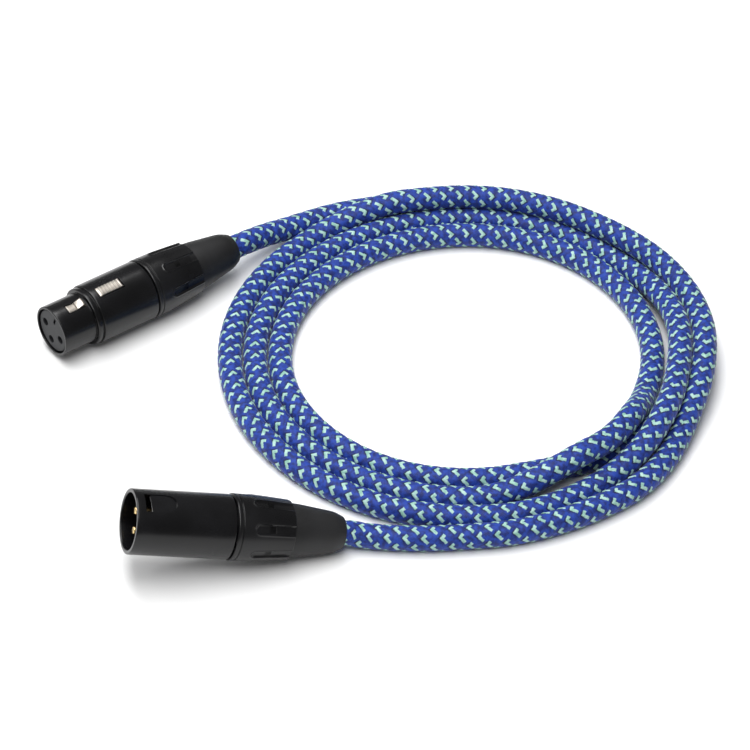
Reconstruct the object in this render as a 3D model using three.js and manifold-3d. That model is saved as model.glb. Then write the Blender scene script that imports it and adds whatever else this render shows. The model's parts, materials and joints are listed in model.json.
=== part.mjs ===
// A balanced microphone cable with a female and a male three-pole connector, wound into a flat
// oval coil that lies on a table. Millimetres, +Z up, the table at z = 0. The origin is on the
// table, midway between the two connectors.
import * as THREE from 'three';
import { mergeVertices } from 'three/addons/utils/BufferGeometryUtils.js';
import Module from 'manifold-3d';

const wasm = await Module();
wasm.setup();

// Cable and coil
const cableRadius = 3.75;
const strandPitch = 7.85;
const coilCentre = new THREE.Vector2(83.6, 37.75);
const coilRadius = 57.75;
const coilOval = 2.74;
const coilOvalAngle = THREE.MathUtils.degToRad(39);
const strandsAcross = 3;
// Where strands cross, the outer part of the coil stands two strands high over this arc
const humpStart = THREE.MathUtils.degToRad(-62);
const humpEnd = THREE.MathUtils.degToRad(126);
const humpRamp = THREE.MathUtils.degToRad(26);

// Where the connectors lie: the centre of the mating end, its heading on the table, its tilt and
// its roll. fluteTurn is how far each collar has been turned when it is tight.
const male = { place: [-11.7, -64.75, 20.5], heading: 15.8, tilt: 13.2, roll: 8, shellLength: 30 };
male.fluteTurn = THREE.MathUtils.degToRad(40);
const female = { place: [-45.85, 24, 9.93], heading: 41.9, tilt: 0, roll: 12, shellLength: 34.2 };
female.fluteTurn = THREE.MathUtils.degToRad(12);

// Fits
const gap = 0.3;
const roundSides = 32;
const smallSides = 12;

// Contacts: one each side of the key and one opposite it
const contactCircle = 4.1;
const contactAngles = [90, 270, 180];
const pinRadius = 1.2;

// Shells
const maleBore = 8.35;
const maleBarrel = 9.6;
const maleInsertFace = 13;
const maleInsertEnd = 27.3;
const noseRadius = 8.15;
const noseBore = 7.4;
const noseLength = 11.6;
const bodyRadius = 9.75;
const bodyBore = 8.3;
const femaleInsertEnd = 31.2;
const neckRadius = 8.5;
const neckBore = 7.2;
const neckLength = 9;

// Latch of the female connector
const latchWidth = 3.6;
const hookWidth = 2.6;
const buttonWidth = 3.2;
const latchPivot = { along: 29.2, up: 6.1 };
const pivotRadius = 0.6;
const eyeRadius = 1.5;
const latchFloor = 4.1;

// Collar, boot and strain relief, measured back from the end of the shell
const collarLength = 18.3;
const collarRadius = 9.9;
const collarBore = 8.85;
const lipBore = 8.3;
const lipStart = 12;
const bootRoot = 8;
const bootFlange = 8.55;
const bootFlangeStart = 9.6;
const bootEnd = 35.4;
const bootTip = 5.8;
const cableBore = cableRadius + gap;
const chuckRadius = 6;
const chuckStart = 7.6;
const chuckEnd = 19;
const jacketStart = 7;
const leadStraight = 3;
const fluteCount = 7;
const fluteWidth = 3.1;
const fluteStart = 5.8;
const fluteDepth = 0.45;

const finishes = {
  blackMetal: { color: 0x17181a, roughness: 0.35, metalness: 0.6 },
  blackPlastic: { color: 0x101113, roughness: 0.5, metalness: 0 },
  blackRubber: { color: 0x0d0d0e, roughness: 0.85, metalness: 0 },
  greyPlastic: { color: 0x3a3d42, roughness: 0.6, metalness: 0 },
  gold: { color: 0xd9b25a, roughness: 0.25, metalness: 1 },
  chrome: { color: 0xd8d8dc, roughness: 0.15, metalness: 1 },
  blueBraid: { color: 0x2138b8, roughness: 0.9, metalness: 0 },
  redCore: { color: 0xa32020, roughness: 0.5, metalness: 0 },
  whiteCore: { color: 0xd8d8d4, roughness: 0.5, metalness: 0 },
  copper: { color: 0xb87347, roughness: 0.4, metalness: 1 },
};

const object = new THREE.Group();
const materials = Object.fromEntries(
  Object.entries(finishes).map(([name, look]) => [name, new THREE.MeshStandardMaterial(look)]),
);

function addPiece(parent, name, geometry, finish) {
  const mesh = new THREE.Mesh(geometry, materials[finish]);
  mesh.name = name;
  parent.add(mesh);
}

// ---- solids ---------------------------------------------------------------------------------

function toSolid(geometry) {
  const bare = geometry.clone();
  bare.deleteAttribute('normal');
  bare.deleteAttribute('uv');
  const merged = mergeVertices(bare, 1e-4);
  return new wasm.Manifold(new wasm.Mesh({
    numProp: 3,
    vertProperties: new Float32Array(merged.attributes.position.array),
    triVerts: new Uint32Array(merged.index.array),
  }));
}

function toGeometry(solid) {
  const mesh = solid.getMesh();
  const geometry = new THREE.BufferGeometry();
  geometry.setAttribute('position', new THREE.BufferAttribute(mesh.vertProperties, 3));
  geometry.setIndex(new THREE.BufferAttribute(mesh.triVerts, 1));
  geometry.computeVertexNormals();
  return geometry;
}

function cut(geometry, cutters) {
  return toGeometry(cutters.reduce((body, cutter) => body.subtract(toSolid(cutter)), toSolid(geometry)));
}

function join(geometries) {
  const [first, ...others] = geometries.map(toSolid);
  return toGeometry(others.reduce((body, other) => body.add(other), first));
}

// A solid of revolution about the connector's own +X axis. Its outline is a closed list of
// [distance along the axis, radius].
function turned(outline, sides = roundSides) {
  const points = outline.map(([along, radius]) => new THREE.Vector2(radius, along));
  if (outline[0][1] > 0) points.push(points[0].clone());
  return new THREE.LatheGeometry(points, sides).rotateZ(-Math.PI / 2);
}

// A box from its low corner to its high corner
function boxBetween(low, high) {
  const size = high.map((value, axis) => value - low[axis]);
  const centre = high.map((value, axis) => (value + low[axis]) / 2);
  return new THREE.BoxGeometry(...size).translate(...centre);
}

// A round bar along +X at a place on the contact circle
function barAtContact(angle, start, end, radius, sides = smallSides) {
  const bar = new THREE.CylinderGeometry(radius, radius, end - start, sides).rotateZ(-Math.PI / 2);
  return atContact(bar.translate((start + end) / 2, 0, 0), angle);
}

function atContact(geometry, angle) {
  return geometry.translate(0, 0, contactCircle).rotateX(-THREE.MathUtils.degToRad(angle));
}

// A flat outline in the plane of the axis (along, up), given a width across it
function plateAcross(outline, width) {
  const shape = new THREE.Shape(outline.map(([along, up]) => new THREE.Vector2(along, up)));
  const plate = new THREE.ExtrudeGeometry(shape, { depth: width, bevelEnabled: false });
  return plate.translate(0, 0, -width / 2).rotateX(Math.PI / 2);
}

// A tube along a curve, with flat ends
function tube(points, radius, steps, sides) {
  const section = new THREE.Shape();
  for (let side = 0; side < sides; side += 1) {
    const angle = (2 * Math.PI * side) / sides;
    const corner = [radius * Math.cos(angle), radius * Math.sin(angle)];
    if (side === 0) section.moveTo(...corner);
    else section.lineTo(...corner);
  }
  const path = new THREE.CatmullRomCurve3(points, false, 'centripetal');
  return new THREE.ExtrudeGeometry(section, { steps, extrudePath: path, bevelEnabled: false });
}

// ---- male connector -------------------------------------------------------------------------

// The barrel, open at the front, with the slot and the shallow D-shaped recess that take the
// female connector's latch, and the neck that the collar screws onto
function maleShell() {
  const end = male.shellLength;
  const barrel = turned([
    [0.3, maleBore], [0, maleBore + 0.3], [0, maleBarrel - 0.3], [0.3, maleBarrel],
    [end - 0.3, maleBarrel - 0.1], [end, maleBarrel - 0.4], [end, neckRadius],
    [end + neckLength, neckRadius], [end + neckLength, neckBore],
    [maleInsertEnd + gap, neckBore], [maleInsertEnd + gap, maleBore],
  ]);
  const slotStart = 2.6;
  const slotEnd = 4.6;
  const recessEnd = 12.2;
  const halfWidth = 3.1;
  const recessDepth = 0.5;
  const slot = boxBetween([slotStart, -halfWidth, 5], [slotEnd, halfWidth, 11]);
  const recess = new THREE.Shape();
  recess.moveTo(slotEnd - 0.1, -halfWidth);
  recess.lineTo(recessEnd - halfWidth, -halfWidth);
  recess.absarc(recessEnd - halfWidth, 0, halfWidth, -Math.PI / 2, Math.PI / 2, false);
  recess.lineTo(slotEnd - 0.1, halfWidth);
  const pocket = new THREE.ExtrudeGeometry(recess, { depth: 4, bevelEnabled: false, curveSegments: 8 });
  const floor = Math.sqrt((maleBarrel - recessDepth) ** 2 - 1.5 ** 2);
  return cut(barrel, [slot, pocket.translate(0, 0, floor)]);
}

function maleInsert() {
  const radius = maleBore - gap;
  const body = turned([
    [maleInsertFace, 0], [maleInsertFace, radius - 0.4], [maleInsertFace + 0.4, radius],
    [maleInsertEnd, radius], [maleInsertEnd, 0],
  ]);
  const holes = contactAngles.map((angle) =>
    barAtContact(angle, maleInsertFace - 1, maleInsertEnd + 1, pinRadius + gap));
  return cut(body, holes);
}

// A round-nosed pin with a solder cup behind the insert
function malePin(angle) {
  const cupStart = maleInsertEnd + gap;
  const pin = turned([
    [2.4, 0], [2.6, 0.6], [3.2, 1.05], [4, pinRadius], [cupStart, pinRadius], [cupStart, 1.5],
    [cupStart + 4.4, 1.5], [cupStart + 4.4, 1.1], [cupStart + 1.6, 1.1], [cupStart + 1.6, 0],
  ], smallSides);
  return atContact(pin, angle);
}

// ---- female connector -----------------------------------------------------------------------

// The nose and the wider body in one shell, with the slot for the hook, the window for the
// button and the neck that the collar screws onto
function femaleShell() {
  const end = female.shellLength;
  const shoulder = 12.9;
  const shell = turned([
    [0.2, noseBore], [0, noseBore + 0.2], [0, noseRadius - 0.2], [0.2, noseRadius],
    [noseLength, noseRadius], [noseLength + 0.1, 9.0], [noseLength + 0.6, 9.4],
    [noseLength + 1.6, 9.4], [noseLength + 1.8, 9.1], [noseLength + 2.1, 9.1],
    [noseLength + 2.6, bodyRadius], [end - 0.3, bodyRadius], [end, bodyRadius - 0.3],
    [end, neckRadius], [end + neckLength, neckRadius], [end + neckLength, neckBore],
    [femaleInsertEnd + gap, neckBore], [femaleInsertEnd + gap, bodyBore],
    [shoulder, bodyBore], [shoulder, noseBore],
  ]);
  const hookSlot = boxBetween([4.6, -hookWidth / 2 - gap, 5], [11.0, hookWidth / 2 + gap, 11]);
  const window = boxBetween([15.7, -buttonWidth / 2 - gap, 5], [25, buttonWidth / 2 + gap, 12]);
  return cut(shell, [hookSlot, window]);
}

// The contact block: three entries in its face, a keyway, the channel that the latch moves in
// and the cross hole for the latch's pin
function femaleInsert() {
  const noseFit = noseBore - gap;
  const bodyFit = bodyBore - gap;
  const shoulder = 13.2;
  const face = 0.5;
  const block = turned([
    [face, 0], [face, noseFit - 0.3], [face + 0.3, noseFit], [shoulder, noseFit],
    [shoulder, bodyFit], [femaleInsertEnd, bodyFit], [femaleInsertEnd, 0],
  ]);
  const entries = contactAngles.map((angle) => barAtContact(angle, face - 1, 3, 1.35));
  const bores = contactAngles.map((angle) =>
    barAtContact(angle, 2.4, femaleInsertEnd + 1, 1.75 + gap));
  const keyway = boxBetween([face - 1, -0.5, 3.4], [2, 0.5, 5.6]);
  const channel = boxBetween([2.6, -latchWidth / 2 - gap, latchFloor], [40, latchWidth / 2 + gap, 12]);
  const pinHole = crossPin(pivotRadius + gap, 8.4);
  return cut(block, [...entries, ...bores, keyway, channel, pinHole]);
}

function crossPin(radius, length) {
  return new THREE.CylinderGeometry(radius, radius, length, smallSides)
    .translate(latchPivot.along, 0, latchPivot.up);
}

// A split-sleeve socket contact, open at the front, with a solder cup at the back
function femaleSocket(angle) {
  const start = 2.7;
  const cupEnd = femaleInsertEnd + 3.6;
  const sleeve = turned([
    [start, 1.25], [start, 1.75], [femaleInsertEnd - 2, 1.75], [femaleInsertEnd - 2, 1.5],
    [cupEnd, 1.5], [cupEnd, 1.1], [cupEnd - 2.8, 1.1], [cupEnd - 2.8, 0], [15, 0], [15, 1.25],
  ], smallSides);
  return atContact(sleeve, angle);
}

// The lever: a hook that stands out of the nose, a ribbed button in the body's window, and an
// eye for the pin at its back end
function femaleLatch() {
  const barLow = 5.9;
  const barTop = 6.7;
  const buttonStart = 16;
  const buttonEnd = 24.7;
  const ribs = 6;
  const barEnd = latchPivot.along;
  const bar = plateAcross([[4.9, barLow], [barEnd, barLow], [barEnd, barTop], [4.9, barTop]], latchWidth);
  const eye = crossPin(eyeRadius, latchWidth);
  const hook = plateAcross([
    [4.9, barLow + 0.2], [10.4, barLow + 0.2], [10.6, 8.9], [9.9, 9.0], [7.8, 8.1],
    [7.6, 7.75], [5.6, 7.75], [5.4, 8.0], [4.9, 8.0],
  ], hookWidth);
  const top = [[buttonEnd, barLow + 0.2], [buttonEnd, 9.5]];
  const ribPitch = (buttonEnd - buttonStart - 1) / ribs;
  for (let rib = ribs; rib > 0; rib -= 1) {
    const crest = buttonStart + 0.5 + rib * ribPitch;
    top.push([crest, 10.1], [crest - ribPitch * 0.55, 10.1], [crest - ribPitch * 0.6, 9.85]);
    top.push([crest - ribPitch * 0.95, 9.85]);
  }
  const button = plateAcross([[buttonStart, barLow + 0.2], ...top, [buttonStart, 9.6]], buttonWidth);
  return cut(join([bar, eye, hook, button]), [crossPin(pivotRadius + gap, 8)]);
}

// A bowed strip of spring steel between the channel's floor and the lever
function latchSpring() {
  const thick = 0.3;
  const floor = latchFloor + gap;
  const under = [];
  const over = [];
  for (let step = 0; step <= 8; step += 1) {
    const along = 18.6 + step * 1.05;
    const bow = Math.sin((Math.PI * step) / 8) * 0.75;
    under.push([along, floor + bow]);
    over.unshift([along, floor + bow + thick]);
  }
  return plateAcross([...under, ...over], hookWidth);
}

// ---- pieces that both connectors have -------------------------------------------------------

// The ring nut: a bevelled front edge with a fine groove, seven flutes that run out at the back,
// and a lip that holds the boot's flange
function collar(shellEnd, fluteTurn) {
  const at = (along) => shellEnd + along;
  const ring = turned([
    [at(0.4), collarBore], [at(0.4), collarRadius - 0.35], [at(0.7), collarRadius],
    [at(1.6), collarRadius], [at(1.8), collarRadius - 0.2], [at(2.1), collarRadius - 0.2],
    [at(2.3), collarRadius], [at(6), collarRadius - 0.1], [at(collarLength - 1), 9.05],
    [at(collarLength), 8.65], [at(collarLength), lipBore], [at(lipStart), lipBore],
    [at(lipStart), collarBore],
  ]);
  const flutes = [];
  for (let flute = 0; flute < fluteCount; flute += 1) {
    const outline = new THREE.Shape();
    const half = fluteWidth / 2;
    outline.moveTo(at(collarLength + 1), half);
    outline.lineTo(at(fluteStart) + half, half);
    outline.absarc(at(fluteStart) + half, 0, half, Math.PI / 2, (3 * Math.PI) / 2, false);
    outline.lineTo(at(collarLength + 1), -half);
    const cutter = new THREE.ExtrudeGeometry(outline, { depth: 3, bevelEnabled: false, curveSegments: 6 });
    // The flute's floor follows the collar's taper towards the back
    cutter.translate(-at(fluteStart), 0, 0).rotateY(THREE.MathUtils.degToRad(3.6));
    cutter.translate(at(fluteStart), 0, collarRadius - fluteDepth);
    flutes.push(cutter.rotateX(fluteTurn + (2 * Math.PI * flute) / fluteCount));
  }
  return cut(ring, flutes);
}

// The rubber boot: a flange inside the collar and a taper down to the cable
function boot(shellEnd) {
  const at = (along) => shellEnd + along;
  return turned([
    [at(bootFlangeStart), chuckRadius + gap], [at(bootFlangeStart), bootFlange],
    [at(lipStart - gap), bootFlange], [at(lipStart - gap), bootRoot],
    [at(collarLength), bootRoot], [at(bootEnd - 2.4), bootTip + 0.2], [at(bootEnd - 1.3), bootTip - 0.2],
    [at(bootEnd - 0.4), bootTip - 0.9], [at(bootEnd), cableBore + 0.5], [at(bootEnd), cableBore],
    [at(chuckEnd + gap), cableBore], [at(chuckEnd + gap), chuckRadius + gap],
  ]);
}

// The strain relief: a sleeve split from the back into four jaws that grip the jacket
function chuck(shellEnd) {
  const at = (along) => shellEnd + along;
  const sleeve = turned([
    [at(chuckStart), cableBore], [at(chuckStart), chuckRadius - 0.4], [at(chuckStart + 0.4), chuckRadius],
    [at(chuckEnd - 3), chuckRadius], [at(chuckEnd), chuckRadius - 1.1], [at(chuckEnd), cableBore],
  ], 24);
  const slot = [[at(chuckStart + 3), -0.5, -8], [at(chuckEnd + 1), 0.5, 8]];
  const upright = boxBetween(...slot);
  const level = boxBetween(...slot).rotateX(Math.PI / 2);
  return cut(sleeve, [upright, level]);
}

// An insulated core from a solder cup to the end of the jacket
function core(angle, cupStart, jacketEnd) {
  const radius = 0.55;
  const inner = 1.9;
  const points = [
    new THREE.Vector3(cupStart, 0, contactCircle),
    new THREE.Vector3(cupStart + 1.6, 0, contactCircle),
    new THREE.Vector3(jacketEnd - 1.8, 0, inner + 0.3),
    new THREE.Vector3(jacketEnd - gap, 0, inner),
  ];
  return tube(points, radius, 6, 8).rotateX(-THREE.MathUtils.degToRad(angle));
}

function connector(place) {
  const group = new THREE.Group();
  const radians = THREE.MathUtils.degToRad;
  group.position.set(...place.place);
  group.rotation.order = 'ZYX';
  group.rotation.set(radians(place.roll), radians(place.tilt), radians(place.heading));
  object.add(group);
  return group;
}

function addSharedPieces(group, name, { shellLength: shellEnd, fluteTurn }, cupStart) {
  addPiece(group, `${name}_chuck`, chuck(shellEnd), 'greyPlastic');
  addPiece(group, `${name}_collar`, collar(shellEnd, fluteTurn), 'blackPlastic');
  addPiece(group, `${name}_boot`, boot(shellEnd), 'blackRubber');
  const cores = [['shield', 'copper'], ['hot', 'redCore'], ['cold', 'whiteCore']];
  cores.forEach(([use, finish], index) => {
    const angle = contactAngles[index];
    addPiece(group, `${name}_wire_${use}`, core(angle, cupStart, shellEnd + jacketStart), finish);
  });
}

const maleGroup = connector(male);
addPiece(maleGroup, 'male_shell', maleShell(), 'blackMetal');
addPiece(maleGroup, 'male_insert', maleInsert(), 'blackPlastic');
contactAngles.forEach((angle, index) => {
  addPiece(maleGroup, `male_pin_${index + 1}`, malePin(angle), 'gold');
});
addSharedPieces(maleGroup, 'male', male, maleInsertEnd + 2.4);

const femaleGroup = connector(female);
addPiece(femaleGroup, 'female_shell', femaleShell(), 'blackMetal');
addPiece(femaleGroup, 'female_insert', femaleInsert(), 'blackPlastic');
contactAngles.forEach((angle, index) => {
  addPiece(femaleGroup, `female_socket_${index + 1}`, femaleSocket(angle), 'gold');
});
addPiece(femaleGroup, 'female_latch', femaleLatch(), 'chrome');
addPiece(femaleGroup, 'female_latch_spring', latchSpring(), 'chrome');
addPiece(femaleGroup, 'female_latch_pin', crossPin(pivotRadius, 7.2), 'chrome');
addSharedPieces(femaleGroup, 'female', female, femaleInsertEnd + 1.3);

// ---- cable ----------------------------------------------------------------------------------

// How far the outer strands are lifted at an angle round the coil, from 0 to 1
function hump(angle) {
  const { smoothstep } = THREE.MathUtils;
  const rise = smoothstep(angle, humpStart, humpStart + humpRamp);
  return rise * (1 - smoothstep(angle, humpEnd - humpRamp, humpEnd));
}

// The coil's outer shape: a ring three strands across, slightly oval, that is one strand high
// and rises to two at its outside where the strands cross
function coilRing(grow) {
  const inner = coilRadius - cableRadius - grow;
  const outer = coilRadius + (strandsAcross - 1) * strandPitch + cableRadius + grow;
  const top = 2 * cableRadius + grow;
  const round = 2;
  const outline = [
    [inner + round, -grow], [outer - round, -grow], [outer, round], [outer, top - round],
    [outer - round, top], [inner + round, top], [inner, top - round], [inner, round],
  ];
  const points = outline.map(([radius, up]) => new THREE.Vector2(radius, up));
  points.push(points[0].clone());
  const ring = new THREE.LatheGeometry(points, 60).rotateX(Math.PI / 2);
  const place = ring.attributes.position;
  for (let index = 0; index < place.count; index += 1) {
    const x = place.getX(index);
    const y = place.getY(index);
    const angle = Math.atan2(y, x);
    const radius = Math.hypot(x, y);
    const stretch = 1 + (coilOval * Math.cos(2 * (angle - coilOvalAngle))) / radius;
    const share = THREE.MathUtils.clamp((radius - coilRadius) / strandPitch, 0, 1);
    place.setXYZ(index, x * stretch, y * stretch, place.getZ(index) * (1 + share * hump(angle)));
  }
  return ring.translate(coilCentre.x, coilCentre.y, 0);
}

// A point on the connector's axis, seen in the whole part's frame
function onAxis(group, along) {
  group.updateMatrixWorld(true);
  return new THREE.Vector3(along, 0, 0).applyMatrix4(group.matrixWorld);
}

// Points where the cable has left a connector and before it joins the coil, from the coil's centre
const malePath = [
  [-27.1, -84.1, 4.1], [-16.7, -83.5, 3.8], [-7, -82.4, 3.8], [7, -79.6, 3.8],
  [20.4, -76.2, 3.8], [31, -71.2, 3.8], [40.2, -65, 3.8], [48.7, -58.1, 3.8],
];
const femalePath = [
  [-67.9, 43.2, 7.7], [-60.9, 50.1, 5.5], [-54.4, 55.7, 4.3], [-47.7, 60.2, 3.9],
  [-39, 64.4, 3.8], [-30.2, 67.5, 3.8], [-21.5, 69.6, 3.8],
];

// A cable lead: out through the chuck and the boot, then along the table until it joins the ring
function lead(group, shellEnd, path, steps) {
  const inside = [jacketStart, 14, 22, bootEnd, bootEnd + leadStraight];
  const points = inside.map((along) => onAxis(group, shellEnd + along));
  path.forEach(([x, y, z]) => points.push(new THREE.Vector3(coilCentre.x + x, coilCentre.y + y, z)));
  return cut(tube(points, cableRadius, steps, 12), [coilRing(gap)]);
}

addPiece(object, 'cable_coil', coilRing(0), 'blueBraid');
addPiece(object, 'male_lead', lead(maleGroup, male.shellLength, malePath, 26), 'blueBraid');
addPiece(object, 'female_lead', lead(femaleGroup, female.shellLength, femalePath, 22), 'blueBraid');

export default object;
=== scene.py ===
"""A braided microphone cable with a female and a male connector, wound into a flat oval coil."""
import json
import math
import bmesh
import bpy
import numpy as np
from mathutils import Matrix, Vector


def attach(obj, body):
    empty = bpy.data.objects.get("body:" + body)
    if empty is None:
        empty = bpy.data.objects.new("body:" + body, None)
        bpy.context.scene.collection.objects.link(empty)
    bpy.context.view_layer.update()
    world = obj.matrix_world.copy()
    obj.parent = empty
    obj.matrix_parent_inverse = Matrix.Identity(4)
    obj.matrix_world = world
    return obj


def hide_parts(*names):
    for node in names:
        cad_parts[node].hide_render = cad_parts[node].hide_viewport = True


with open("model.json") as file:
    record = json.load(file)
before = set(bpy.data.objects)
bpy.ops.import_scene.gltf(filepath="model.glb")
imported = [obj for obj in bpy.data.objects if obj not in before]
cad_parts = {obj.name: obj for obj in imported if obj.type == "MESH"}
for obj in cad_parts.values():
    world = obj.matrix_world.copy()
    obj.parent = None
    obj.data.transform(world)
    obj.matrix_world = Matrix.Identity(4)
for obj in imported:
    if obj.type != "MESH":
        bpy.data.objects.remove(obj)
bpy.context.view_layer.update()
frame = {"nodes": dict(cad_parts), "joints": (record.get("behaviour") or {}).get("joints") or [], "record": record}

MM = 0.001
joints = {joint["name"]: joint for joint in frame["joints"]}
mounts = {mount["name"]: mount for mount in frame["record"]["mounts"]}


# ---- camera, floor and light ----------------------------------------------------------------

CAMERA_PLACE = Vector((55.3, -700.95, 679.5)) * MM
CAMERA_DOWN = math.radians(43)
CAMERA_ROLL = math.radians(-5)
CAMERA_LENS = 152.7


def add_camera():
    """Looks down on the table at 43 degrees, turned a little about its own line of sight."""
    forward = Vector((0, math.cos(CAMERA_DOWN), -math.sin(CAMERA_DOWN)))
    level_up = Vector((0, math.sin(CAMERA_DOWN), math.cos(CAMERA_DOWN)))
    right = Vector((math.cos(CAMERA_ROLL), 0, 0)) - level_up * math.sin(CAMERA_ROLL)
    up = Vector((math.sin(CAMERA_ROLL), 0, 0)) + level_up * math.cos(CAMERA_ROLL)
    camera = bpy.data.objects.new("camera", bpy.data.cameras.new("camera"))
    turn = Matrix((right, up, -forward)).transposed()
    camera.matrix_world = Matrix.Translation(CAMERA_PLACE) @ turn.to_4x4()
    camera.data.lens = CAMERA_LENS
    camera.data.sensor_width = 36
    camera.data.clip_start = 0.05
    bpy.context.scene.collection.objects.link(camera)
    bpy.context.scene.camera = camera


WORLD_LIGHT = 0.2
LIGHTS_MEET = Vector((0.03, 0, 0))
FLOOR_HALF = 6.0
FLOOR_COLOUR = (0.93, 0.93, 0.93, 1)


def add_area_light(name, place, size, power):
    """A soft rectangular light that faces the middle of the cable."""
    light = bpy.data.lights.new(name, "AREA")
    light.shape = "RECTANGLE"
    light.size, light.size_y = size
    light.energy = power
    lamp = bpy.data.objects.new(name, light)
    lamp.location = Vector(place)
    lamp.rotation_euler = (LIGHTS_MEET - Vector(place)).to_track_quat("-Z", "Y").to_euler()
    bpy.context.scene.collection.objects.link(lamp)


def add_floor():
    corners = [(-FLOOR_HALF, -FLOOR_HALF, 0), (FLOOR_HALF, -FLOOR_HALF, 0),
               (FLOOR_HALF, FLOOR_HALF, 0), (-FLOOR_HALF, FLOOR_HALF, 0)]
    floor = new_thing("floor", corners, [(0, 1, 2, 3)])
    look = bpy.data.materials.new("floor")
    look.use_nodes = True
    shader = look.node_tree.nodes["Principled BSDF"]
    shader.inputs["Base Color"].default_value = FLOOR_COLOUR
    shader.inputs["Roughness"].default_value = 0.9
    shader.inputs["Specular IOR Level"].default_value = 0.1
    floor.data.materials.append(look)


def add_studio_light():
    world = bpy.data.worlds.new("studio")
    world.use_nodes = True
    background = world.node_tree.nodes["Background"]
    background.inputs["Color"].default_value = (1, 1, 1, 1)
    background.inputs["Strength"].default_value = WORLD_LIGHT
    bpy.context.scene.world = world
    bpy.context.scene.view_settings.view_transform = "Standard"
    add_area_light("overhead", (-0.1, -0.02, 1.0), (1.5, 0.5), 17)
    add_area_light("left_strip", (-0.75, 0.2, 0.5), (0.25, 0.7), 2)


# ---- materials ------------------------------------------------------------------------------


class Look:
    """A material under construction: its node tree, with short calls for the nodes it needs."""

    def __init__(self, name):
        self.material = bpy.data.materials.new(name)
        self.material.use_nodes = True
        self.tree = self.material.node_tree
        self.shader = self.tree.nodes["Principled BSDF"]

    def put(self, socket, value):
        """Joins a node's output to a socket, or sets a plain number or colour on it."""
        if isinstance(value, bpy.types.NodeSocket):
            self.tree.links.new(value, socket)
        elif isinstance(value, (tuple, list)):
            socket.default_value = (*value, 1) if len(value) == 3 and socket.type == "RGBA" else value
        else:
            socket.default_value = value

    def set(self, **values):
        for name, value in values.items():
            self.put(self.shader.inputs[name.replace("_", " ")], value)
        return self

    def math(self, operation, first, second=0.0, third=0.0):
        node = self.tree.nodes.new("ShaderNodeMath")
        node.operation = operation
        for socket, value in zip(node.inputs, (first, second, third)):
            self.put(socket, value)
        return node.outputs[0]

    def step(self, value, low, high, start=0.0, end=1.0):
        """Goes smoothly from start to end as the value goes from low to high."""
        node = self.tree.nodes.new("ShaderNodeMapRange")
        node.interpolation_type = "SMOOTHSTEP"
        for name, number in (("Value", value), ("From Min", low), ("From Max", high),
                             ("To Min", start), ("To Max", end)):
            self.put(node.inputs[name], number)
        return node.outputs["Result"]

    def band(self, value, low, high, soft):
        """1 between low and high and 0 outside, with soft edges."""
        rise = self.step(value, low - soft, low + soft)
        fall = self.step(value, high - soft, high + soft, 1.0, 0.0)
        return self.math("MULTIPLY", rise, fall)

    def mix(self, share, first, second):
        node = self.tree.nodes.new("ShaderNodeMix")
        node.data_type = "RGBA"
        self.put(node.inputs["Factor"], share)
        self.put(node.inputs[6], first)
        self.put(node.inputs[7], second)
        return node.outputs[2]

    def noise(self, scale, detail):
        """Soft noise by the point on the object."""
        where = self.tree.nodes.new("ShaderNodeTexCoord")
        node = self.tree.nodes.new("ShaderNodeTexNoise")
        node.inputs["Scale"].default_value = scale
        node.inputs["Detail"].default_value = detail
        self.tree.links.new(where.outputs["Object"], node.inputs["Vector"])
        return node.outputs["Fac"]

    def bump(self, height, strength, distance):
        node = self.tree.nodes.new("ShaderNodeBump")
        node.inputs["Strength"].default_value = strength
        node.inputs["Distance"].default_value = distance
        self.put(node.inputs["Height"], height)
        self.put(self.shader.inputs["Normal"], node.outputs["Normal"])
        return self


CLOUD_SCALE = 60
SOFT_SHINE = 0.36
GRAIN_HEIGHT = 0.00005
TURNING_HEIGHT = 0.00002


def grained(name, dark, light, rough, grain=2500, relief=0.15):
    """A moulded or painted surface: faint cloudy colour, uneven gloss and a fine grain."""
    look = Look(name)
    clouds = look.noise(CLOUD_SCALE, 4)
    fine = look.noise(grain, 2)
    look.set(Base_Color=look.mix(look.step(clouds, 0.35, 0.65), dark, light))
    uneven = look.math("MULTIPLY_ADD", clouds, rough[1] - rough[0], rough[0])
    look.set(Roughness=look.math("MULTIPLY_ADD", fine, 0.08, uneven))
    look.set(Specular_IOR_Level=SOFT_SHINE)
    return look.bump(fine, relief, GRAIN_HEIGHT).material


def turned_metal(name, colour, rough):
    """Bright metal with fine turning lines and light wear."""
    look = Look(name)
    lines = look.noise(900, 4)
    wear = look.noise(150, 5)
    darker = tuple(0.72 * part for part in colour)
    look.set(Base_Color=look.mix(look.step(wear, 0.3, 0.7), darker, colour))
    look.set(Roughness=look.math("MULTIPLY_ADD", lines, 0.15, rough))
    look.set(Metallic=1.0)
    return look.bump(lines, 0.1, TURNING_HEIGHT).material


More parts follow.
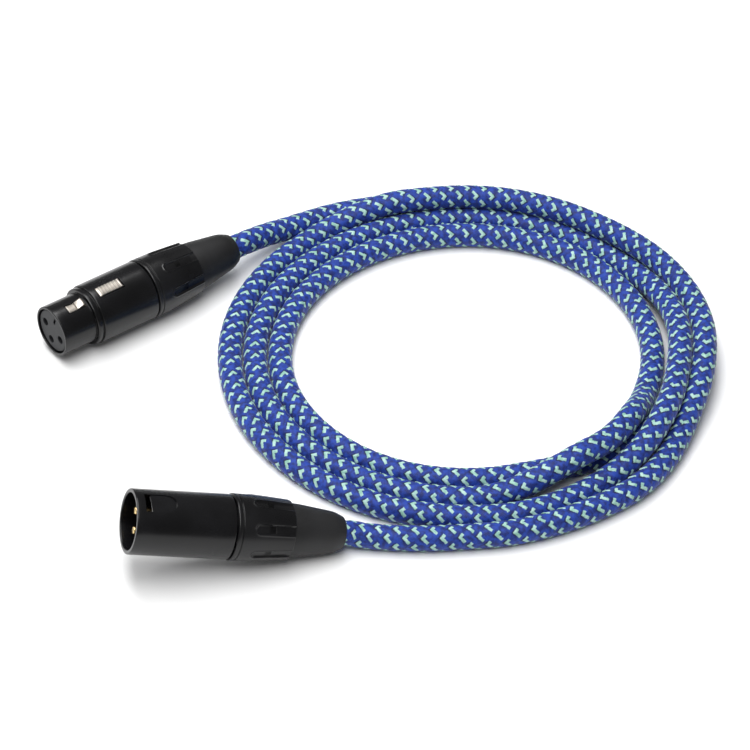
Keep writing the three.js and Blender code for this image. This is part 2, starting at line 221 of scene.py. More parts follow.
MATERIALS = {
    "black_metal": grained(
        "satin_black_paint", (0.0018, 0.0018, 0.0022), (0.0045, 0.0045, 0.0055), (0.17, 0.26)),
    "black_plastic": grained(
        "insert_plastic", (0.010, 0.011, 0.013), (0.018, 0.019, 0.022), (0.44, 0.56)),
    "collar_plastic": grained(
        "collar_plastic", (0.002, 0.002, 0.0025), (0.006, 0.006, 0.007), (0.20, 0.32), 1800),
    "boot_rubber": grained(
        "boot_rubber", (0.006, 0.006, 0.0065), (0.013, 0.013, 0.014), (0.44, 0.56), 1400, 0.35),
    "grey_plastic": grained("grey_plastic", (0.10, 0.11, 0.12), (0.14, 0.15, 0.16), (0.5, 0.6)),
    "contact_gold": turned_metal("contact_gold", (0.95, 0.70, 0.33), 0.18),
    "latch_chrome": turned_metal("latch_chrome", (0.40, 0.37, 0.33), 0.24),
    "bare_copper": turned_metal("bare_copper", (0.78, 0.42, 0.24), 0.3),
    "core_red": grained("core_red", (0.42, 0.02, 0.02), (0.55, 0.03, 0.03), (0.35, 0.45)),
    "core_white": grained("core_white", (0.68, 0.68, 0.65), (0.78, 0.78, 0.75), (0.35, 0.45)),
}


# ---- the cable ------------------------------------------------------------------------------

CABLE_RADIUS = 3.75
STRAND_PITCH = 7.85
COIL_CENTRE = Vector((83.6, 37.75, 0))
COIL_RADIUS = 57.75
COIL_OVAL = 2.74
COIL_OVAL_ANGLE = 39

# The winding, as (first angle, last angle, change): the angle counts on round the coil from the
# strand that comes in from the male connector. The first list moves the strand in and out by
# strand widths, the second lifts it over the strands that it crosses, in millimetres.
SHIFTS = [
    (-95, -50, -0.35), (-50, -12, -0.65), (8, 60, -0.5), (100, 142, 0.5),
    (280, 315, -0.35), (315, 362, -0.65), (635, 668, -0.30), (672, 712, -0.70),
    (1006, 1066, 1.1), (1056, 1130, 0.9),
]
LIFTS = [
    (-34, 10, 7.4), (32, 62, -1.0), (110, 143, -6.4),
    (304, 340, 7.5), (364, 412, -7.5), (632, 670, 7.5), (686, 710, -7.5),
]
FIRST_SLOT = 3
WINDING = (-84, 1182)
WINDING_STEP = 3

# Where the cable isn't coiled: from the coil's centre, between each connector and the coil
MALE_LEAD = [(-27.1, -84.1, 4.1), (-16.7, -83.5, 3.8), (-7, -82.4, 3.75)]
FEMALE_LEAD = [
    (-21.5, 69.6, 3.75), (-30.2, 67.5, 3.75), (-39, 64.4, 3.8), (-47.7, 60.2, 3.9),
    (-54.4, 55.7, 4.3), (-60.9, 50.1, 5.5), (-67.9, 43.2, 7.7),
]

# The braid: how many pale flecks go round the cable and how far apart they are along it. A fleck
# is a pale yarn that comes up in one unit cell: a long arm along the second family of yarns and
# a short one along the first, which meet at the end of the cell nearest the male connector.
BRAID_COLUMNS = 8
BRAID_PITCH = 5.45
ARM_WIDTH = 0.235
LONG_ARM = 0.66
SHORT_ARM = 0.46
SIDES = 72
RING_STEP = 0.36
YARN_RELIEF = 0.26
MEAN_YARN_HEIGHT = 0.4

# The colours of the yarns, with painted shade in the hollows where yarns dive under each other, a painted
# highlight blue and a painted shade mint along the filament lines, and the count of filament lines across one yarn
# as a phase
PAINTED_SHADE_BLUE = (0.002, 0.006, 0.05)
DARK_BLUE = (0.002, 0.009, 0.085)
BLUE = (0.010, 0.047, 0.33)
PAINTED_HIGHLIGHT_BLUE = (0.036, 0.088, 0.58)
SHADED_MINT = (0.15, 0.34, 0.27)
DARK_MINT = (0.22, 0.44, 0.36)
MINT = (0.46, 0.68, 0.63)
FLECK_EDGE = 0.03
FILAMENT_PHASE = 75


def smooth_step(value, start, end):
    share = np.clip((value - start) / (end - start), 0, 1)
    return share * share * (3 - 2 * share)


def sum_of_steps(steps, angle):
    return sum(change * smooth_step(angle, start, end) for start, end, change in steps)


def winding():
    """Points of the coiled stretch, turn after turn."""
    first, last = WINDING
    points = []
    for angle in np.arange(first, last + 0.1, WINDING_STEP):
        slot = FIRST_SLOT + sum_of_steps(SHIFTS, angle)
        turn = math.radians(angle)
        oval = COIL_OVAL * math.cos(2 * (turn - math.radians(COIL_OVAL_ANGLE)))
        radius = COIL_RADIUS + oval + slot * STRAND_PITCH
        height = CABLE_RADIUS + sum_of_steps(LIFTS, angle)
        points.append(COIL_CENTRE + Vector((radius * math.cos(turn), radius * math.sin(turn), height)))
    return points


def centripetal_knots(corners):
    gaps = [np.linalg.norm(after - before) for before, after in zip(corners, corners[1:])]
    return np.cumsum([0] + [max(gap, 1e-6) ** 0.5 for gap in gaps])


def spline_through(points, step):
    """A centripetal Catmull-Rom curve through the points, sampled at even steps."""
    points = np.array([list(point) for point in points], float)
    ends = [2 * points[0] - points[1], 2 * points[-1] - points[-2]]
    points = np.vstack([ends[0], points, ends[1]])
    fine = []
    for a, b, c, d in zip(points[:-3], points[1:-2], points[2:-1], points[3:]):
        knots = centripetal_knots((a, b, c, d))
        for t in np.linspace(knots[1], knots[2], 24, endpoint=False):
            ab = ((knots[1] - t) * a + (t - knots[0]) * b) / (knots[1] - knots[0])
            bc = ((knots[2] - t) * b + (t - knots[1]) * c) / (knots[2] - knots[1])
            cd = ((knots[3] - t) * c + (t - knots[2]) * d) / (knots[3] - knots[2])
            abc = ((knots[2] - t) * ab + (t - knots[0]) * bc) / (knots[2] - knots[0])
            bcd = ((knots[3] - t) * bc + (t - knots[1]) * cd) / (knots[3] - knots[1])
            fine.append(((knots[2] - t) * abc + (t - knots[1]) * bcd) / (knots[2] - knots[1]))
    fine.append(points[-2])
    fine = np.array(fine)
    along = np.concatenate([[0], np.cumsum(np.linalg.norm(np.diff(fine, axis=0), axis=1))])
    count = int(along[-1] / step) + 1
    even = np.linspace(0, along[-1], count)
    return np.stack([np.interp(even, along, fine[:, axis]) for axis in range(3)], 1), even


def braid_cells(round_share, along):
    """Where a point lies in the braid's two families of yarns, as two running counts."""
    across = round_share * BRAID_COLUMNS
    forward = along / (BRAID_PITCH / 2)
    return (forward - across) / 2, (forward + across) / 2


def yarn_height(first, second):
    """Height of the braid's surface in a unit cell, from 0 to 1: a low dome of blue yarns, and
    the two arms of the pale yarn in front of it."""
    first, second = first % 1, second % 1

    def crown(value, start, end):
        inside = np.clip((value - start) / (end - start), 0, 1)
        return np.sqrt(np.clip(4 * inside * (1 - inside), 0, 1))

    dome = crown(first, ARM_WIDTH * 0.8, 1) * crown(second, ARM_WIDTH * 0.8, 1) * 0.8
    long_arm = crown(first, -0.02, ARM_WIDTH + 0.02) * crown(second, -0.1, LONG_ARM + 0.1)
    short_arm = crown(second, -0.02, ARM_WIDTH + 0.02) * crown(first, -0.1, SHORT_ARM + 0.1)
    return np.maximum(dome, np.maximum(long_arm, short_arm))


def fleck_arm(look, across, along, length):
    """1 on an arm of a pale fleck, which starts at the corner of its unit cell."""
    wide = look.band(across, FLECK_EDGE, FLECK_EDGE + ARM_WIDTH, FLECK_EDGE)
    long = look.band(along, FLECK_EDGE, FLECK_EDGE + length, FLECK_EDGE)
    return look.math("MULTIPLY", wide, long)


def unshaded_yarn_crown(look, count):
    """1 on the crown of a blue yarn and 0 where it dives under its neighbours, where the braid is painted with
    shade.
    """
    return look.math("MULTIPLY", look.step(count, 0.20, 0.48), look.step(count, 0.84, 1.0, 1.0, 0.0))


def braid_material():
    """Blue braid with pale flecks. The two counts of the yarns come in as the UV map."""
    look = Look("blue_braid")
    uv = look.tree.nodes.new("ShaderNodeUVMap")
    uv.uv_map = "yarns"
    parts = look.tree.nodes.new("ShaderNodeSeparateXYZ")
    look.tree.links.new(uv.outputs["UV"], parts.inputs["Vector"])
    shake = look.math("MULTIPLY_ADD", look.noise(1300, 2), 0.14, -0.07)
    shift = look.math("ADD", shake, FLECK_EDGE)
    first = look.math("FRACT", look.math("ADD", parts.outputs["X"], shift))
    second = look.math("FRACT", look.math("ADD", parts.outputs["Y"], shift))
    long_arm = fleck_arm(look, first, second, LONG_ARM)
    short_arm = fleck_arm(look, second, first, SHORT_ARM)
    # Filaments run along the yarns: along the second family on the long arm and on half of the
    # blue, along the first family elsewhere
    first_lines = look.math("SINE", look.math("MULTIPLY", parts.outputs["X"], FILAMENT_PHASE))
    second_lines = look.math("SINE", look.math("MULTIPLY", parts.outputs["Y"], FILAMENT_PHASE))
    along_second = look.math("GREATER_THAN", second, first)
    lines = look.math("ADD", look.math("MULTIPLY", first_lines, along_second),
                      look.math("MULTIPLY", second_lines, look.math("SUBTRACT", 1.0, along_second)))
    clouds = look.noise(700, 4)
    blue = look.mix(look.step(clouds, 0.32, 0.68), DARK_BLUE, BLUE)
    # Painted highlight: the blue is lightened along the filament lines.
    blue = look.mix(look.math("MULTIPLY", look.step(lines, 0.2, 1.0), 0.35), blue, PAINTED_HIGHLIGHT_BLUE)
    # Painted shade: the blue turns near black where each yarn dives under its neighbours.
    crown = look.math("MAXIMUM", unshaded_yarn_crown(look, first), unshaded_yarn_crown(look, second))
    blue = look.mix(crown, PAINTED_SHADE_BLUE, blue)
    mint = look.mix(look.step(clouds, 0.3, 0.7), DARK_MINT, MINT)
    mint = look.mix(look.math("MULTIPLY", look.step(lines, 0.0, 1.0), 0.3), mint, SHADED_MINT)
    look.set(Base_Color=look.mix(look.math("MAXIMUM", long_arm, short_arm), blue, mint))
    look.set(Roughness=look.math("MULTIPLY_ADD", clouds, 0.15, 0.55))
    look.set(Sheen_Weight=0.15, Sheen_Roughness=0.4, Specular_IOR_Level=0.35)
    height = look.math("ADD", look.math("MULTIPLY", lines, 0.3), look.math("MULTIPLY", clouds, 0.8))
    return look.bump(height, 0.5, 0.0001).material


def braid_points(path, along):
    """The rings of points round the path, in metres, raised and sunk by the yarns. The underside
    lies flat on the table where the cable rests on it."""
    ahead = np.gradient(path, axis=0)
    ahead /= np.linalg.norm(ahead, axis=1)[:, None]
    side = np.cross(ahead, [0, 0, 1])
    side /= np.linalg.norm(side, axis=1)[:, None]
    up = np.cross(side, ahead)
    share = np.arange(SIDES) / SIDES
    first, second = braid_cells(share[None, :], along[:, None])
    radius = CABLE_RADIUS + YARN_RELIEF * (yarn_height(first, second) - MEAN_YARN_HEIGHT)
    angle = 2 * np.pi * share
    out = np.cos(angle)[None, :, None] * up[:, None, :] + np.sin(angle)[None, :, None] * side[:, None, :]
    points = (path[:, None, :] + radius[:, :, None] * out).reshape(-1, 3) * MM
    points[:, 2] = np.maximum(points[:, 2], 0)
    return points


def add_braid_map(mesh, along, ring, step):
    """The UV map: the two counts of the yarns at each corner of each face."""
    yarns = mesh.uv_layers.new(name="yarns")
    corner_ring = np.stack([ring, ring, ring + 1, ring + 1], -1).reshape(-1, 4)[:, ::-1].ravel()
    corner_step = np.stack([step, step + 1, step + 1, step], -1).reshape(-1, 4)[:, ::-1].ravel()
    first, second = braid_cells(corner_step / SIDES, along[corner_ring])
    values = np.zeros((len(mesh.loops), 2))
    values[:len(first), 0], values[:len(first), 1] = first, second
    yarns.data.foreach_set("uv", values.ravel())


def braided_tube(path, along):
    count = len(path)
    ring, step = np.meshgrid(np.arange(count - 1), np.arange(SIDES), indexing="ij")
    beside = (step + 1) % SIDES
    faces = np.stack([ring * SIDES + step, ring * SIDES + beside,
                      (ring + 1) * SIDES + beside, (ring + 1) * SIDES + step], -1).reshape(-1, 4)
    caps = [list(range(SIDES)), [(count - 1) * SIDES + corner for corner in reversed(range(SIDES))]]
    cable = new_thing("cable", braid_points(path, along).tolist(), faces[:, ::-1].tolist() + caps)
    add_braid_map(cable.data, along, ring, step)
    cable.data.shade_smooth()
    cable.data.materials.append(braid_material())
    return cable


def add_cable(start, end):
    """The whole cable as one braided tube, from inside the male boot to inside the female one."""
    leads = [[COIL_CENTRE + Vector(point) for point in lead] for lead in (MALE_LEAD, FEMALE_LEAD)]
    route = start + leads[0] + winding() + leads[1] + end
    path, along = spline_through(route, RING_STEP)
    cable = braided_tube(path, along)
    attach(cable, "root")
    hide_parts("cable_coil", "male_lead", "female_lead")


# ---- where the connectors lie ---------------------------------------------------------------

MALE_ROLL = 8
MALE_FACE = 13
FEMALE_FACE = 0.5
MALE_SHELL_END = 30
FEMALE_SHELL_END = 34.2
BOOT_LENGTH = 35.4
JACKET_START = 7
LEAD_STRAIGHT = 3


def male_place():
    """The male connector's frame: origin at its mouth, X along it, Z up through its latch recess."""
    ahead = Vector(joints["male_boot_slide"]["axis"]).normalized()
    level = Vector((0, 0, 1)).cross(ahead).normalized()
    side = Matrix.Rotation(math.radians(MALE_ROLL), 3, ahead) @ level
    origin = Vector(mounts["male_mating_face"]["pos_m"]) - ahead * MALE_FACE * MM
    return connector_frame(origin, ahead, side)


def female_place():
    """The female connector's frame, with Y along the pin of its latch."""
    ahead = Vector(joints["female_boot_slide"]["axis"]).normalized()
    side = Vector(joints["female_latch_press"]["axis"]).normalized()
    origin = Vector(mounts["female_mating_face"]["pos_m"]) - ahead * FEMALE_FACE * MM
    return connector_frame(origin, ahead, side)


def connector_frame(origin, ahead, side):
    turn = Matrix((ahead, side, ahead.cross(side))).transposed()
    return Matrix.Translation(origin) @ turn.to_4x4() @ Matrix.Scale(MM, 4)


def on_axis(place, distances):
    """Points on a connector's axis, in millimetres on the table."""
    return [(place @ Vector((along, 0, 0))) / MM for along in distances]


# ---- shapes, in millimetres in a connector's own frame ----------------------------------------

ROUND = 128


def rounded(corners, steps=5):
    """A closed outline from its (along, radius, rounding) corners."""
    outline = []
    for index, (along, radius, rounding) in enumerate(corners):
        corner = Vector((along, radius))
        before = Vector(corners[index - 1][:2]) - corner
        after = Vector(corners[(index + 1) % len(corners)][:2]) - corner
        reach = min(rounding, before.length * 0.45, after.length * 0.45)
        if reach <= 0:
            outline.append((along, radius))
            continue
        start, end = corner + before.normalized() * reach, corner + after.normalized() * reach
        for step in range(steps + 1):
            share = step / steps
            point = start * (1 - share) ** 2 + corner * 2 * share * (1 - share) + end * share ** 2
            outline.append(tuple(point))
    return outline


def finer(outline, longest):
    """The same closed outline, with its long stretches divided."""
    points = []
    for index, point in enumerate(outline):
        here, after = Vector(point), Vector(outline[(index + 1) % len(outline)])
        count = max(1, math.ceil((after - here).length / longest))
        points += [tuple(here.lerp(after, step / count)) for step in range(count)]
    return points


def new_thing(name, points, faces):
    mesh = bpy.data.meshes.new(name)
    mesh.from_pydata(points, [], faces)
    thing = bpy.data.objects.new(name, mesh)
    bpy.context.scene.collection.objects.link(thing)
    return thing


def revolve(name, outline, sides=ROUND, relief=None):
    """A closed ring: the outline turned about the axis. The relief adds to the radius of what
    faces outwards, by the place along the axis, the radius and the angle from Z."""
    outline = np.array(outline)
    turn = 2 * np.pi * np.arange(sides) / sides
    along = np.repeat(outline[:, :1], sides, axis=1)
    radius = np.repeat(outline[:, 1:], sides, axis=1)
    if relief is not None:
        radius = radius + relief(along, radius, turn[None, :])
    points = np.stack([along, -radius * np.sin(turn), radius * np.cos(turn)], -1).reshape(-1, 3)
    count = len(outline)
    ring, step = np.meshgrid(np.arange(count), np.arange(sides), indexing="ij")
    after, beside = (ring + 1) % count, (step + 1) % sides
    faces = np.stack([ring * sides + step, ring * sides + beside,
                      after * sides + beside, after * sides + step], -1).reshape(-1, 4)
    return new_thing(name, points.tolist(), faces.tolist())


def prism(name, outline, lift):
    """A closed prism: the outline's points as they are and moved by the lift."""
    low = [Vector(point) for point in outline]
    count = len(low)
    faces = [list(range(count))[::-1], list(range(count, 2 * count))]
    for side in range(count):
        beside = (side + 1) % count
        faces.append([side, beside, beside + count, side + count])
    return new_thing(name, low + [point + Vector(lift) for point in low], faces)


def plate_across(name, outline, width):
    """A plate in the plane of the axis and Z, given a width across it."""
    return prism(name, [(along, width / 2, up) for along, up in outline], (0, -width, 0))


def block(name, low, high):
    corners = [(low[0], low[1], low[2]), (high[0], low[1], low[2]),
               (high[0], high[1], low[2]), (low[0], high[1], low[2])]
    return prism(name, corners, (0, 0, high[2] - low[2]))


def settle(thing):
    """Puts what the modifiers make into the mesh itself."""
    graph = bpy.context.evaluated_depsgraph_get()
    before = thing.data
    thing.data = bpy.data.meshes.new_from_object(thing.evaluated_get(graph))
    thing.modifiers.clear()
    bpy.data.meshes.remove(before)


def combine(thing, others, operation):
    for other in others:
        boolean = thing.modifiers.new(operation, "BOOLEAN")
        boolean.operation = operation
        boolean.solver = "EXACT"
        boolean.object = other
        settle(thing)
        mesh = other.data
        bpy.data.objects.remove(other)
        bpy.data.meshes.remove(mesh)


def soften(thing, width):
    bevel = thing.modifiers.new("edges", "BEVEL")
    bevel.width = width
    bevel.segments = 2
    bevel.limit_method = "ANGLE"
    bevel.angle_limit = math.radians(40)
    settle(thing)


def outwards(mesh):
    """Turns every face of a closed mesh to face out."""
    graph = bmesh.new()
    graph.from_mesh(mesh)
    bmesh.ops.recalc_face_normals(graph, faces=graph.faces)
    graph.to_mesh(mesh)
    graph.free()


def finish_piece(thing, place, body, slot, *nodes):
    """Puts a piece where its connector lies, gives it its material and joins it to its body."""
    thing.data.transform(place)
    outwards(thing.data)
    thing.data.shade_smooth()
    thing.data.set_sharp_from_angle(angle=math.radians(32))
    thing.data.materials.clear()
    thing.data.materials.append(MATERIALS[slot])
    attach(thing, body)
    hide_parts(*nodes)


# ---- the shells -------------------------------------------------------------------------------

MALE_BORE = 8.35
BARREL_RADIUS = 9.6
MALE_STEP = 27.6
NECK_RADIUS = 8.5
NECK_BORE = 7.2
NECK_LENGTH = 9
THREAD_START = 0.6
THREAD_PITCH = 1.0
THREAD_DEPTH = 0.4
THREAD_TURNS = 8
NOSE_RADIUS = 8.15
NOSE_BORE = 7.4
NOSE_LENGTH = 11.6
BODY_RADIUS = 9.75
BODY_BORE = 8.3
FEMALE_STEP = 31.5
SHOULDER = 12.9
HOOK_WIDTH = 2.6
BUTTON_WIDTH = 3.2
GAP = 0.3
LONGEST_FACET = 1.6

# The male barrel's latch slot and the D-shaped recess behind it
SLOT_HALF = 3.1
SLOT_START = 2.6
SLOT_END = 4.6
RECESS_END = 12.2
RECESS_FLOOR = 8.85
RECESS_STEPS = 24

# The rim, groove and shoulder where the female connector's nose joins its body
RIM_RADIUS = 9.4
RIM_END = NOSE_LENGTH + 1.5
GROOVE_RADIUS = 9.05
GROOVE_END = NOSE_LENGTH + 2.1
HOOK_SLOT = (4.6, 11.0)
BUTTON_WINDOW = (15.7, 25)


def neck(end, step, bore):
    """The corners of the threaded neck behind a shell, from the shell's end round to its bore."""
    corners = [(end, NECK_RADIUS, 0)]
    for turn in range(THREAD_TURNS):
        start = end + THREAD_START + turn * THREAD_PITCH
        corners += [(start, NECK_RADIUS, 0.1), (start + THREAD_PITCH / 2, NECK_RADIUS - THREAD_DEPTH, 0.1)]
    corners += [(end + NECK_LENGTH, NECK_RADIUS, 0.2), (end + NECK_LENGTH, NECK_BORE, 0.2)]
    return corners + [(step, NECK_BORE, 0), (step, bore, 0)]


def add_male_shell():
    """The barrel: a thin rounded mouth, and the slot and D-shaped recess for the latch."""
    end = MALE_SHELL_END
    corners = [(0, MALE_BORE, 0.35), (0, BARREL_RADIUS, 0.4), (end, BARREL_RADIUS, 0.45)]
    outline = rounded(corners + neck(end, MALE_STEP, MALE_BORE))
    barrel = revolve("male_barrel", finer(outline, LONGEST_FACET))
    slot = block("slot", (SLOT_START, -SLOT_HALF, 5), (SLOT_END, SLOT_HALF, 11))
    front = SLOT_END - 0.1
    bow = [(front, SLOT_HALF, RECESS_FLOOR), (front, -SLOT_HALF, RECESS_FLOOR)]
    for step in range(RECESS_STEPS + 1):
        turn = math.pi * (step / RECESS_STEPS - 0.5)
        along = RECESS_END - SLOT_HALF + SLOT_HALF * math.cos(turn)
        bow.append((along, SLOT_HALF * math.sin(turn), RECESS_FLOOR))
    combine(barrel, [slot, prism("recess", bow, (0, 0, 3))], "DIFFERENCE")
    finish_piece(barrel, MALE, "root", "black_metal", "male_shell")


def add_female_shell():
    """Nose, rim, groove and body in one, with the hook's slot and the button's window."""
    end = FEMALE_SHELL_END
    corners = [
        (0, NOSE_BORE, 0.25), (0, NOSE_RADIUS, 0.35), (NOSE_LENGTH, NOSE_RADIUS, 0.1),
        (NOSE_LENGTH, RIM_RADIUS, 0.5), (RIM_END, RIM_RADIUS, 0.3), (RIM_END + 0.1, GROOVE_RADIUS, 0.1),
        (GROOVE_END, GROOVE_RADIUS, 0.1), (GROOVE_END, BODY_RADIUS - 0.05, 0.9),
        (NOSE_LENGTH + 6, BODY_RADIUS, 2), (end, BODY_RADIUS, 0.45),
    ]
    inside = [(SHOULDER, BODY_BORE, 0), (SHOULDER, NOSE_BORE, 0)]
    outline = rounded(corners + neck(end, FEMALE_STEP, BODY_BORE) + inside)
    shell = revolve("female_barrel", finer(outline, LONGEST_FACET))
    half_hook = HOOK_WIDTH / 2 + GAP
    half_button = BUTTON_WIDTH / 2 + GAP
    hook_slot = block("slot", (HOOK_SLOT[0], -half_hook, 5), (HOOK_SLOT[1], half_hook, 11))
    window = block("window", (BUTTON_WINDOW[0], -half_button, 5), (BUTTON_WINDOW[1], half_button, 12))
    combine(shell, [hook_slot, window], "DIFFERENCE")
    finish_piece(shell, FEMALE, "root", "black_metal", "female_shell")


# ---- the latch --------------------------------------------------------------------------------

LATCH_PIVOT = (29.2, 6.1)
EYE_RADIUS = 1.5
EYE_BORE = 0.9
EYE_FACETS = 32
LATCH_WIDTH = 3.6
LATCH_FRONT = 4.9
BAR_FLOOR = 5.9
BAR_TOP = 6.7
LATCH_ROOT = BAR_FLOOR + 0.2

# The hook's fine ribs and the button's coarse ones: (floor, crest) heights
HOOK_RIBS = 4
HOOK_RIB_PITCH = 0.56
HOOK_RIB_HEIGHTS = (7.72, 7.9)
BUTTON_RIBS = 7
BUTTON_START = 16
BUTTON_END = 24.7
BUTTON_RIM = 9.75
BUTTON_RIB_HEIGHTS = (9.8, 10.12)


def round_across(name, radius, width):
    """A round bar across the connector at the latch's pivot."""
    along, up = LATCH_PIVOT
    turns = [2 * math.pi * step / EYE_FACETS for step in range(EYE_FACETS)]
    outline = [(along + radius * math.cos(turn), up + radius * math.sin(turn)) for turn in turns]
    return plate_across(name, outline, width)


def hook_outline():
    """The hook: a ramp at the back, fine ribs along its crown and a raised tip in front."""
    floor, crown = HOOK_RIB_HEIGHTS
    outline = [(LATCH_FRONT, LATCH_ROOT), (10.4, LATCH_ROOT), (10.6, 8.9), (9.9, 9.0), (7.9, 8.1)]
    for rib in reversed(range(HOOK_RIBS)):
        crest = 5.75 + rib * HOOK_RIB_PITCH
        outline += [(crest + 0.28, floor), (crest + 0.2, crown), (crest, crown), (crest - 0.08, floor)]
    return outline + [(5.45, floor), (5.35, 8.05), (LATCH_FRONT, 8.05)]


def button_outline():
    """The button, with seven ribs between two lower ends."""
    floor, crown = BUTTON_RIB_HEIGHTS
    pitch = (BUTTON_END - BUTTON_START - 0.9) / BUTTON_RIBS
    outline = [(BUTTON_START, LATCH_ROOT), (BUTTON_END, LATCH_ROOT), (BUTTON_END, BUTTON_RIM)]
    for rib in range(BUTTON_RIBS, 0, -1):
        crest = BUTTON_START + 0.45 + rib * pitch
        outline += [(crest, crown), (crest - pitch * 0.5, crown), (crest - pitch * 0.62, floor)]
        outline += [(crest - pitch * 0.92, floor)]
    return outline + [(BUTTON_START, BUTTON_RIM)]


def add_latch():
    """The chrome lever: a hook with fine ribs, a ribbed button and an eye for its pin."""
    back = LATCH_PIVOT[0]
    sides = [(LATCH_FRONT, BAR_FLOOR), (back, BAR_FLOOR), (back, BAR_TOP), (LATCH_FRONT, BAR_TOP)]
    bar = plate_across("female_latch_lever", sides, LATCH_WIDTH)
    hook = plate_across("hook", hook_outline(), HOOK_WIDTH)
    button = plate_across("button", button_outline(), BUTTON_WIDTH)
    combine(bar, [hook, button, round_across("eye", EYE_RADIUS, LATCH_WIDTH)], "UNION")
    combine(bar, [round_across("bore", EYE_BORE, 8)], "DIFFERENCE")
    soften(bar, 0.07)
    finish_piece(bar, FEMALE, "female_latch", "latch_chrome", "female_latch")


# ---- pins, collars and boots ------------------------------------------------------------------

CONTACT_CIRCLE = 4.1
CONTACT_ANGLES = [90, 270, 180]
PIN_TIP = 2.4
PIN_RADIUS = 1.2
CUP_RADIUS = 1.5
CUP_BORE = 1.1
CUP_LENGTH = 4.4
AXIS_RADIUS = 0.001
COLLAR_LENGTH = 18.3
COLLAR_RADIUS = 9.9
COLLAR_BORE = 8.85
COLLAR_TAIL = 8.65
LIP_BORE = 8.3
LIP_START = 12
BOOT_ROOT = 8.0
BOOT_FLANGE = 8.55
BOOT_FLANGE_START = 9.6
BOOT_TIP = 5.8
CABLE_BORE = 4.05
CHUCK_RADIUS = 6
CHUCK_END = 19
FLUTES = 7
FLUTE_TURN = {"male": math.radians(40), "female": math.radians(12)}
FLUTE_START = 5.8
FLUTE_HALF = 1.5
FLUTE_DEPTH = 0.5
THINNEST_WALL = 0.12
RIM_HEIGHT = 0.12
COLLAR_FACET = 0.25


def add_male_pins():
    """Round-nosed pins with a solder cup at the back."""
    cup, end = MALE_STEP, MALE_STEP + CUP_LENGTH
    corners = [
        (PIN_TIP, AXIS_RADIUS, 0), (PIN_TIP, PIN_RADIUS, 1.0), (cup, PIN_RADIUS, 0), (cup, CUP_RADIUS, 0.1),
        (end, CUP_RADIUS, 0.1), (end, CUP_BORE, 0.1), (cup + 1.6, CUP_BORE, 0.1), (cup + 1.6, AXIS_RADIUS, 0),
    ]
    outwards_from_axis = Matrix.Translation((0, 0, CONTACT_CIRCLE))
    for number, angle in enumerate(CONTACT_ANGLES, 1):
        pin = revolve(f"male_contact_{number}", rounded(corners, 6), 32)
        pin.data.transform(Matrix.Rotation(math.radians(-angle), 4, "X") @ outwards_from_axis)
        finish_piece(pin, MALE, "root", "contact_gold", f"male_pin_{number}")


def flute_relief(shell_end, first_flute):
    """Seven scooped flutes with a round front and a fine raised rim. A flute is never so deep
    that it opens into the collar's bore."""
    def relief(along, radius, turn):
        pitch = 2 * np.pi / FLUTES
        beside = ((turn - first_flute + pitch / 2) % pitch - pitch / 2) * radius
        ahead = np.maximum(shell_end + FLUTE_START + FLUTE_HALF - along, 0)
        outside = np.hypot(beside, ahead) - FLUTE_HALF
        bore = np.where(along < shell_end + LIP_START + THINNEST_WALL, COLLAR_BORE, LIP_BORE)
        deepest = np.minimum(FLUTE_DEPTH, radius - bore - THINNEST_WALL)
        scoop = deepest * smooth_step(-outside, -0.05, 0.4)
        rim = RIM_HEIGHT * np.exp(-((outside - 0.15) / 0.22) ** 2)
        outer = (radius > COLLAR_TAIL - 0.3) & (along > shell_end + 3)
        return np.where(outer, rim - scoop, 0.0)
    return relief


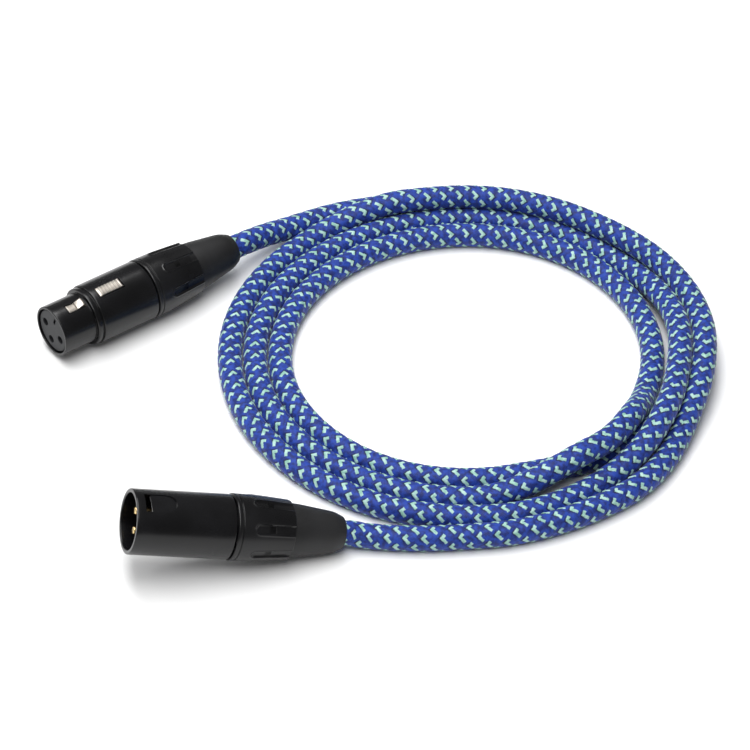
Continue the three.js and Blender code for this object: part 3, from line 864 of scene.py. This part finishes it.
def add_collar(name, place, shell_end):
    """The screw collar, with a groove behind its front rim and a lip inside that holds the boot."""
    at, end = shell_end, shell_end + COLLAR_LENGTH
    groove = COLLAR_RADIUS - 0.35
    corners = [
        (at + 0.4, COLLAR_BORE, 0.1), (at + 0.4, COLLAR_RADIUS, 0.45), (at + 1.5, COLLAR_RADIUS, 0.2),
        (at + 1.6, groove, 0.1), (at + 2.0, groove, 0.1),
        (at + 2.1, COLLAR_RADIUS - 0.05, 0.2), (at + 7, COLLAR_RADIUS - 0.15, 3),
        (end, COLLAR_TAIL + 0.1, 0.7), (end, LIP_BORE, 0.05),
        (at + LIP_START, LIP_BORE, 0), (at + LIP_START, COLLAR_BORE, 0),
    ]
    outline = finer(rounded(corners), COLLAR_FACET)
    collar = revolve(f"{name}_ring_nut", outline, 3 * ROUND, flute_relief(at, FLUTE_TURN[name]))
    finish_piece(collar, place, f"{name}_collar", "collar_plastic", f"{name}_collar")


def add_boot(name, place, shell_end):
    """The rubber boot: a flange inside the collar's lip and a tapered sleeve round the cable."""
    flange, lip, tip = (shell_end + along for along in (BOOT_FLANGE_START, LIP_START - GAP, BOOT_LENGTH))
    chuck_end = shell_end + CHUCK_END + GAP
    corners = [
        (flange, CHUCK_RADIUS + GAP, 0.1), (flange, BOOT_FLANGE, 0.2),
        (lip, BOOT_FLANGE, 0.1), (lip, BOOT_ROOT, 0.1),
        (shell_end + COLLAR_LENGTH + 1.5, BOOT_ROOT, 3), (tip - 3, BOOT_TIP + 0.35, 2.5),
        (tip, BOOT_TIP - 1.0, 1.3), (tip, CABLE_BORE - 0.25, 0.25),
        (chuck_end, CABLE_BORE, 0), (chuck_end, CHUCK_RADIUS + GAP, 0),
    ]
    boot = revolve(f"{name}_rubber_boot", finer(rounded(corners, 8), 1.0))
    finish_piece(boot, place, f"{name}_boot", "boot_rubber", f"{name}_boot")


def dress_packed_nodes():
    """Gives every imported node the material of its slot."""
    slots = {part["node"]: part["material_slot"] for part in frame["record"]["subparts"]}
    for node, thing in frame["nodes"].items():
        if slots[node] in MATERIALS:
            thing.data.materials.clear()
            thing.data.materials.append(MATERIALS[slots[node]])


MALE = male_place()
FEMALE = female_place()

add_camera()
add_floor()
add_studio_light()
ALONG_LEAD = (JACKET_START, 14, 22, BOOT_LENGTH, BOOT_LENGTH + LEAD_STRAIGHT)
add_cable(
    on_axis(MALE, [MALE_SHELL_END + along for along in ALONG_LEAD]),
    on_axis(FEMALE, [FEMALE_SHELL_END + along for along in reversed(ALONG_LEAD)]),
)
add_male_shell()
add_male_pins()
add_female_shell()
add_latch()
for connector, place, shell_end in (("male", MALE, MALE_SHELL_END), ("female", FEMALE, FEMALE_SHELL_END)):
    add_collar(connector, place, shell_end)
    add_boot(connector, place, shell_end)
dress_packed_nodes()
